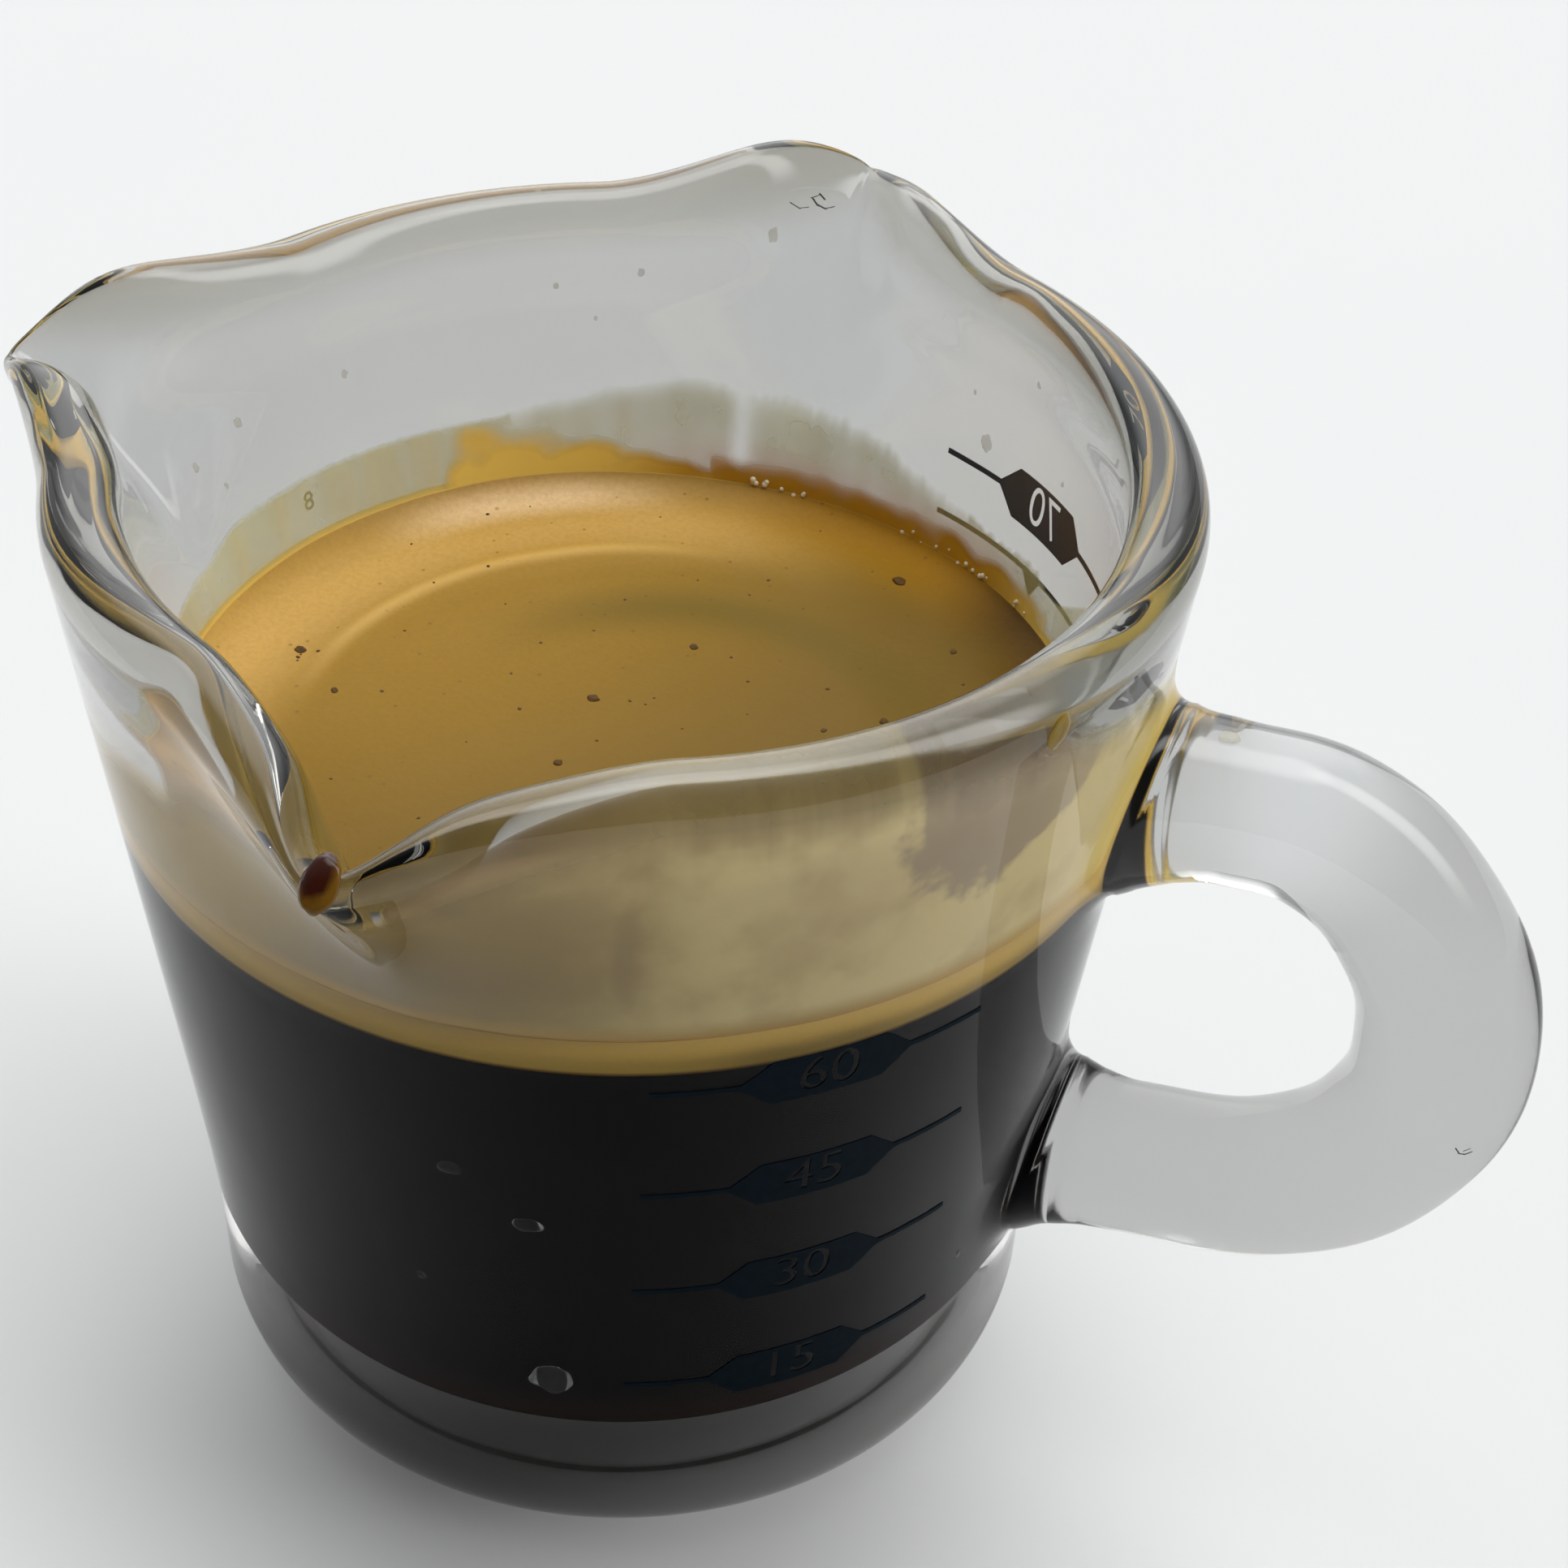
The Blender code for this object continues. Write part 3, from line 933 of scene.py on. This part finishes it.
def make_film():
    """A closed thin skin on the wall's inside, from just under the crema's level up to its edge."""
    outside = []
    inside = []
    values = []
    for column in range(FILM_COLUMNS):
        degrees = FILM_START + 360 * column / FILM_COLUMNS
        base = CREMA_TOP - FILM_BELOW
        top = film_edge(degrees) + edge_wander(degrees)
        for row in range(FILM_ROWS + 1):
            share = row / FILM_ROWS
            z = base + (top - base) * share
            proud = FILM_THICKNESS * (1 - 0.4 * share ** 6)
            outside.append(on_inside(degrees, z, -FILM_DEPTH))
            inside.append(on_inside(degrees, z, proud))
            values.append(film_cover(degrees, z, top))
    rows = FILM_ROWS + 1
    count = FILM_COLUMNS * rows
    faces = []
    for column in range(FILM_COLUMNS):
        here = column * rows
        there = (column + 1) % FILM_COLUMNS * rows
        for k in range(FILM_ROWS):
            quad = (here + k, here + k + 1, there + k + 1, there + k)
            faces.append(quad)
            faces.append(tuple(count + index for index in (quad[0], *reversed(quad[1:]))))
        faces.append((here, there, count + there, count + here))
        here += FILM_ROWS
        there += FILM_ROWS
        faces.append((here, count + here, count + there, there))
    piece = new_piece("crema_wall_film", outside + inside, faces, film_material())
    set_thickness(piece, values + values)
    declare(piece, "crema")


# Bubbles, specks and drops

BUBBLE_COUNT = 46
BUBBLE_SPANS = ((45, 75), (55, 72), (86, 96))
BUBBLE_SIZES = (0.09, 0.2)


def make_bubbles():
    """Tiny bright bubbles along the crema's edge at the back right."""
    draw = random.Random(SEED)
    lumps = []
    for _ in range(BUBBLE_COUNT):
        degrees = draw.choice([draw.uniform(*span) for span in BUBBLE_SPANS])
        z = CREMA_TOP + draw.uniform(0.2, 1.3) * MM
        size = draw.uniform(*BUBBLE_SIZES) * MM
        across, up = wall_frame(on_inside, degrees, z)
        lumps.append(blob(on_inside(degrees, z, 0.08 * MM), up, across, (size, size, size), degrees, 0.0))
    add_lumps("edge_bubbles", lumps, bubble_material(), "crema")


# Dark specks in the crema: x, y and size in millimetres, and how many finer ones lie among them
SPECKS = (
    (-20.4, 0.1, 0.33), (-16.8, -2.8, 0.24), (-2.9, 2.1, 0.36), (0.6, 9.0, 0.26), (9.6, 20.1, 0.42),
    (13.2, 6.3, 0.28), (10.3, 4.2, 0.18), (-2.4, -4.3, 0.27), (14.8, 14.4, 0.22),
)
FINE_SPECKS = 60
FINE_SIZES = (0.06, 0.13)
SPECK_REACH = 24.0


def make_specks():
    draw = random.Random(SEED + 1)
    places = list(SPECKS)
    for _ in range(FINE_SPECKS):
        angle = draw.uniform(0, 2 * math.pi)
        radius = SPECK_REACH * math.sqrt(draw.uniform(0, 1))
        places.append((radius * math.cos(angle), radius * math.sin(angle), draw.uniform(*FINE_SIZES)))
    edge = inner_radius(CREMA_TOP)
    lumps = []
    for order, place in enumerate(places):
        x, y, size = [each * MM for each in place]
        z = crema_height(x, y, math.hypot(x, y), edge)
        turn = draw.uniform(0, math.pi)
        across = Vector((math.cos(turn), math.sin(turn), 0.0))
        up = Vector((-math.sin(turn), math.cos(turn), 0.0))
        shape = (size * 1.1, size * 0.9, size * 0.3)
        lumps.append(blob(Vector((x, y, z)), across, up, shape, order, 0.3))
    add_lumps("crema_specks", lumps, speck_material(), "crema")


# Dried spots on the inside of the wall: angle, height and size in millimetres
SPOTS = (
    (166.7, 52.0, 0.30), (174.0, 50.8, 0.24), (150.3, 52.4, 0.26), (121.1, 55.4, 0.2),
    (110.2, 56.0, 0.28), (50.4, 57.0, 0.22), (95.0, 57.0, 0.42), (59.7, 50.9, 0.5),
    (171.0, 49.0, 0.18), (116.0, 53.0, 0.14), (63.0, 53.5, 0.14), (44.0, 52.0, 0.16),
)
SPOT_HEIGHT = 0.05 * MM


def make_spots():
    lumps = []
    for order, (degrees, z, size) in enumerate(SPOTS):
        across, up = wall_frame(on_inside, degrees, z * MM)
        shape = (size * MM * 1.1, size * MM * 0.8, SPOT_HEIGHT)
        lumps.append(blob(on_inside(degrees, z * MM), up, across, shape, order, 0.5))
    add_lumps("dried_spots", lumps, residue_material(), "crema")


# The drops' darkest place, in shares of their half width and length, and how dark each is
CORE_PLACE = (0.2, -0.25)
CORE_STRENGTH = 1.7
DROP_ROUGHNESS = 0.22
LIP_DROP_PLACE = (0.4 * MM, -37.9 * MM, 59.5 * MM)
LIP_DROP_UP = (0, -0.78, -0.63)
LIP_DROP_SIZE = (0.95 * MM, 1.45 * MM, 0.42 * MM)
LIP_DROP_EDGE = (0.15, 0.070, 0.006)
LIP_DROP_STRENGTH = 1.6
SIDE_DROP_PLACE = (-26.2, 59.0 * MM)
SIDE_DROP_SIZE = (0.75 * MM, 1.15 * MM, 0.2 * MM)
SIDE_DROP_EDGE = (0.27, 0.17, 0.012)
SIDE_DROP_STRENGTH = 0.1


def make_drop(name, centre, directions, size, strength, edge_colour):
    """A coffee drop, as wide, long and thick as size says, darkest where it is thickest."""
    across, up = directions
    vertices, faces = blob(centre, across, up, size, centre.x * 900, DROP_ROUGHNESS)
    piece = new_piece(name, vertices, faces, drop_material(edge_colour))
    values = []
    for vertex in piece.data.vertices:
        off = vertex.co - centre
        beside = (off.dot(across) / size[0] - CORE_PLACE[0]) ** 2
        beside += (off.dot(up) / size[1] - CORE_PLACE[1]) ** 2
        values.append(min(1.0, CORE_STRENGTH * strength * max(0.0, 1 - beside)))
    set_thickness(piece, values)
    declare(piece, "black_coffee")


def make_drops():
    """The drop left on the tip of the front lip, and the pale one below the rim by the handle."""
    place = Vector(LIP_DROP_PLACE)
    lip = (Vector((-1, 0, 0)), Vector(LIP_DROP_UP))
    make_drop("lip_drop", place, lip, LIP_DROP_SIZE, LIP_DROP_STRENGTH, LIP_DROP_EDGE)
    place = on_outside(*SIDE_DROP_PLACE)
    side = wall_frame(on_outside, *SIDE_DROP_PLACE)
    make_drop("side_drop", place, side, SIDE_DROP_SIZE, SIDE_DROP_STRENGTH, SIDE_DROP_EDGE)


# Clear drops low on the outside: angle, height, and half of width and height across in millimetres
CLEAR_DROPS = (
    (-87.4, 32.8, 0.7, 0.5), (-79.1, 29.2, 0.8, 0.6), (-77.2, 15.8, 1.25, 1.2), (-92.9, 22.8, 0.3, 0.35),
    (-20.1, 17.4, 0.25, 0.3),
)
CLEAR_DROP_HEIGHT = 0.06 * MM


def make_clear_drops():
    lumps = []
    for order, (degrees, z, wide, tall) in enumerate(CLEAR_DROPS):
        across, up = wall_frame(on_outside, degrees, z * MM)
        shape = (wide * MM, tall * MM, CLEAR_DROP_HEIGHT)
        lumps.append(blob(on_outside(degrees, z * MM), across, up, shape, order, 0.25))
    add_lumps("clear_drops", lumps, water_material(), "clear_glass")


# Dark traces: at the back lip, as angles and heights, and on the handle, as points in millimetres,
# each with its half width
LIP_TRACES = (
    (((90.2, 58.9), (90.8, 58.7), (91.5, 58.8), (92.0, 59.1), (91.4, 59.3), (90.9, 59.1)), 0.09),
    (((92.2, 58.6), (92.9, 58.5), (93.9, 58.8)), 0.07),
)
HANDLE_TRACES = (
    (((49.7, -3.98, 30.6), (49.9, -3.88, 30.25), (50.2, -3.68, 30.15), (50.5, -3.42, 30.25)), 0.07),
    (((50.1, -3.70, 30.4), (50.4, -3.46, 30.5)), 0.05),
)
SEED_PLACE = (33.94, -0.48, 51.25)
SEED_SIZE = 0.55
SEED_HEIGHT = 0.08
TRACE_STEPS = 4
TRACE_PROUD = 0.05 * MM


def trace(points, width):
    """A thin flattened thread through the points, as many small lumps."""
    lumps = []
    shape = (width * 1.6, width * 0.6, width * 0.5)
    for start, end in zip(points, points[1:]):
        for step in range(TRACE_STEPS):
            place = start.lerp(end, step / TRACE_STEPS)
            across = (end - start).normalized()
            up = across.orthogonal().normalized()
            lumps.append(blob(place, across, up, shape, len(lumps), 0.4))
    return lumps


def make_flaws():
    """Dark traces on the back lip and the handle, and a seed near the top of the handle."""
    lumps = []
    for points, width in LIP_TRACES:
        lumps += trace([on_inside(degrees, z * MM, TRACE_PROUD) for degrees, z in points], width * MM)
    for points, width in HANDLE_TRACES:
        lumps += trace([Vector(point) * MM for point in points], width * MM)
    add_lumps("dark_traces", lumps, trace_material(), "clear_glass")
    shape = (SEED_SIZE * MM, SEED_SIZE * MM, SEED_HEIGHT * MM)
    seed = blob(Vector(SEED_PLACE) * MM, Vector((1, 0, 0)), Vector((0, 1, 0)), shape, 3, 0.3)
    add_lumps("handle_seed", [seed], residue_material(), "clear_glass")


# The printed scales, with heights in millimetres

INK_THICKNESS = 0.04 * MM
INK_DEPTH = 0.01 * MM
LINE_WIDTH = 0.34 * MM
LINE_REACH = 9.4 * MM
SHORT_REACH = 4.7 * MM
HEXAGON_HALF = 4.9 * MM
HEXAGON_TALL = 1.6 * MM
POINT_SLOPE = 1.1
NOTCH_WIDTH = 1.0 * MM
NOTCH_DEPTH = 1.5 * MM
NUMBER_SIZE = 3.5 * MM
SLICE = 0.6 * MM
FRONT_ANGLE = -47.0
FRONT_MARKS = ((40.2, "60"), (32.1, "45"), (24.0, "30"), (15.7, "15"))
BACK_ANGLE = 49.8
BACK_LEVEL = 47.7
NOTCHED_LEVEL = 43.7
SHORT_PLACE = (168.0, 40.9 * MM)
DIGIT_PLACE = (156.0, 44.0 * MM)
DIGIT_SIZE = 1.7 * MM


def flat_print(shapes, number="", size=NUMBER_SIZE):
    """Closed outlines and a number as one filled flat mesh, in which the number is cut out."""
    curve = bpy.data.curves.new("print", "CURVE")
    curve.dimensions = "2D"
    curve.fill_mode = "BOTH"
    for shape in shapes:
        spline = curve.splines.new("POLY")
        spline.points.add(len(shape) - 1)
        for point, (x, y) in zip(spline.points, shape):
            point.co = (x, y, 0.0, 1.0)
        spline.use_cyclic_u = True
    if number:
        add_number(curve, number, size)
    holder = in_scene("print", curve)
    mesh = finished_mesh(holder)
    bpy.data.objects.remove(holder, do_unlink=True)
    return mesh


def add_number(curve, number, size):
    """Add the outlines of a number's digits to a curve."""
    text = bpy.data.curves.new("number", "FONT")
    text.body = number
    text.size = size
    text.align_x = "CENTER"
    text.align_y = "CENTER"
    holder = in_scene("number", text)
    bpy.context.view_layer.update()
    letters = holder.to_curve(bpy.context.evaluated_depsgraph_get())
    for source in letters.splines:
        spline = curve.splines.new("BEZIER")
        spline.bezier_points.add(len(source.bezier_points) - 1)
        for point, old in zip(spline.bezier_points, source.bezier_points):
            for part in ("co", "handle_left", "handle_right"):
                value = getattr(old, part)
                setattr(point, part, (value[0], value[1], 0.0))
        spline.use_cyclic_u = True
    bpy.data.objects.remove(holder, do_unlink=True)


def printed(mesh, degrees, z):
    """Vertices and faces of a flat print wrapped on the wall at an angle and a height."""
    soup = bmesh.new()
    soup.from_mesh(mesh)
    low = min(vertex.co.x for vertex in soup.verts)
    high = max(vertex.co.x for vertex in soup.verts)
    for step in range(1, int((high - low) / SLICE)):
        geometry = soup.verts[:] + soup.edges[:] + soup.faces[:]
        place = (low + step * SLICE, 0, 0)
        bmesh.ops.bisect_plane(soup, geom=geometry, plane_co=place, plane_no=(1, 0, 0))
    bmesh.ops.triangulate(soup, faces=soup.faces)
    flat = bmesh.ops.extrude_face_region(soup, geom=soup.faces[:])
    for element in flat["geom"]:
        if isinstance(element, bmesh.types.BMVert):
            element.co.z = 1.0
    soup.verts.index_update()
    vertices = []
    for vertex in soup.verts:
        height = z + vertex.co.y
        turn = math.degrees(vertex.co.x / outer_radius(height))
        proud = INK_THICKNESS if vertex.co.z > 0.5 else -INK_DEPTH
        vertices.append(on_outside(degrees + turn, height, proud))
    faces = [tuple(v.index for v in face.verts) for face in soup.faces]
    soup.free()
    return vertices, faces


def graduation(number):
    """A thin line that widens into a long hexagon with pointed ends, round a number."""
    thin = LINE_WIDTH / 2
    corner = HEXAGON_HALF - POINT_SLOPE * HEXAGON_TALL
    neck = HEXAGON_HALF - POINT_SLOPE * thin
    right = [(corner, -HEXAGON_TALL), (neck, -thin), (LINE_REACH, -thin)]
    right += [(x, -y) for x, y in reversed(right)]
    return flat_print([right + [(-x, -y) for x, y in right]], number)


def notched_line():
    """A thin line with a notch that points down at its middle."""
    thin = LINE_WIDTH / 2
    notch = [(-NOTCH_WIDTH, -thin), (0.0, -NOTCH_DEPTH), (NOTCH_WIDTH, -thin)]
    ends = [(LINE_REACH, -thin), (LINE_REACH, thin), (-LINE_REACH, thin)]
    return flat_print([[(-LINE_REACH, -thin), *notch, *ends]])


def short_line():
    thin = LINE_WIDTH / 2
    ends = [(-SHORT_REACH, -thin), (SHORT_REACH, -thin), (SHORT_REACH, thin), (-SHORT_REACH, thin)]
    return flat_print([ends])


def make_scales():
    surface = ink_material()
    front = [printed(graduation(number), FRONT_ANGLE, level * MM) for level, number in FRONT_MARKS]
    add_lumps("scale_front", front, surface, "clear_glass", smooth=False)
    back = [
        printed(graduation("70"), BACK_ANGLE, BACK_LEVEL * MM),
        printed(notched_line(), BACK_ANGLE, NOTCHED_LEVEL * MM),
        printed(short_line(), *SHORT_PLACE),
        printed(flat_print([], "8", DIGIT_SIZE), *DIGIT_PLACE),
    ]
    add_lumps("scale_back", back, surface, "clear_glass", smooth=False)


# The setting

FLOOR_RADIUS = 20.0
FLOOR_STEPS = 96
FLOOR_GAP = 0.05 * MM


def make_camera():
    data = bpy.data.cameras.new("camera")
    data.sensor_width = SENSOR
    data.lens = LENS
    data.clip_start = 0.01
    camera = in_scene("camera", data)
    right = Vector(CAMERA_RIGHT)
    up = Vector(CAMERA_UP)
    back = right.cross(up)
    turn = Matrix((right, up, back)).transposed().to_4x4()
    camera.matrix_world = Matrix.Translation(CAMERA_PLACE) @ turn
    bpy.context.scene.camera = camera


def make_floor():
    surface = Surface("pale_floor")
    tone = surface.mix(surface.noise(60 * MM), (0.69, 0.695, 0.70), (0.71, 0.715, 0.715))
    surface.shade(Base_Color=tone, Roughness=0.7, Specular_IOR_Level=0.1)
    turns = [2 * math.pi * step / FLOOR_STEPS for step in range(FLOOR_STEPS)]
    edge = [(FLOOR_RADIUS * math.cos(turn), FLOOR_RADIUS * math.sin(turn), 0.0) for turn in turns]
    floor = new_piece("floor", edge, [tuple(range(FLOOR_STEPS))], surface.material, smooth=False)
    floor.location.z = -FLOOR_GAP


# The studio: where its bright side lies, and its dim and bright tones
BRIGHT_SIDE = (-0.20, 0.45, 0.35)
DIM_TONE = (0.14, 0.14, 0.137, 1.0)
BRIGHT_TONE = (0.95, 0.97, 0.98, 1.0)
STUDIO_STRENGTH = 0.6
# Its soft lamps: direction, cosines where each starts and is full, and strength
SOFT_LIGHTS = (
    ((-0.30, 0.77, 0.57), 0.77, 0.97, 2.6),
    ((-0.08, 0.22, 0.97), 0.93, 0.999, 5.5),
)
# Its strip lamp at the right: the middle, the normal of the plane that it lies in, and strength
STRIP_MIDDLE = (0.61, 0.19, 0.77)
STRIP_NORMAL = (-0.01, 0.974, -0.228)
STRIP_STRENGTH = 6.5


def make_world():
    """A pale studio: light behind and overhead, dimmer in front, with soft lamps."""
    world = bpy.data.worlds.new("studio")
    world.use_nodes = True
    bpy.context.scene.world = world
    nodes = Nodes(world.node_tree, "Generated")

    def facing(direction):
        return nodes.vector("DOT_PRODUCT", nodes.place, direction).outputs["Value"]

    across = facing(STRIP_NORMAL)
    in_strip = nodes.ramp(nodes.times(across, across), 0.045, 0.0)
    lamps = nodes.times(nodes.ramp(facing(STRIP_MIDDLE), 0.74, 1.0, STRIP_STRENGTH), in_strip)
    for direction, start, full, strength in SOFT_LIGHTS:
        lamps = nodes.math("ADD", lamps, nodes.ramp(facing(direction), start, full, strength))
    tones = nodes.node("ShaderNodeValToRGB", {0: facing(BRIGHT_SIDE)})
    dim, bright = tones.color_ramp.elements
    dim.color = DIM_TONE
    bright.color = BRIGHT_TONE
    bright.position = 0.5
    studio = nodes.tree.nodes["Background"]
    nodes.set(studio.inputs["Color"], tones.outputs[0])
    nodes.set(studio.inputs["Strength"], STUDIO_STRENGTH)
    lamp_light = nodes.node("ShaderNodeBackground", {"Strength": lamps})
    both = nodes.node("ShaderNodeAddShader", {0: studio.outputs[0], 1: lamp_light.outputs[0]})
    nodes.set(nodes.tree.nodes["World Output"].inputs["Surface"], both.outputs[0])
    bpy.context.scene.view_settings.view_transform = "Standard"


def main():
    make_camera()
    make_floor()
    make_world()
    make_glass()
    make_coffee()
    make_crema()
    make_film()
    make_bubbles()
    make_specks()
    make_spots()
    make_drops()
    make_clear_drops()
    make_flaws()
    make_scales()


main()
bpy.context.view_layer.update()
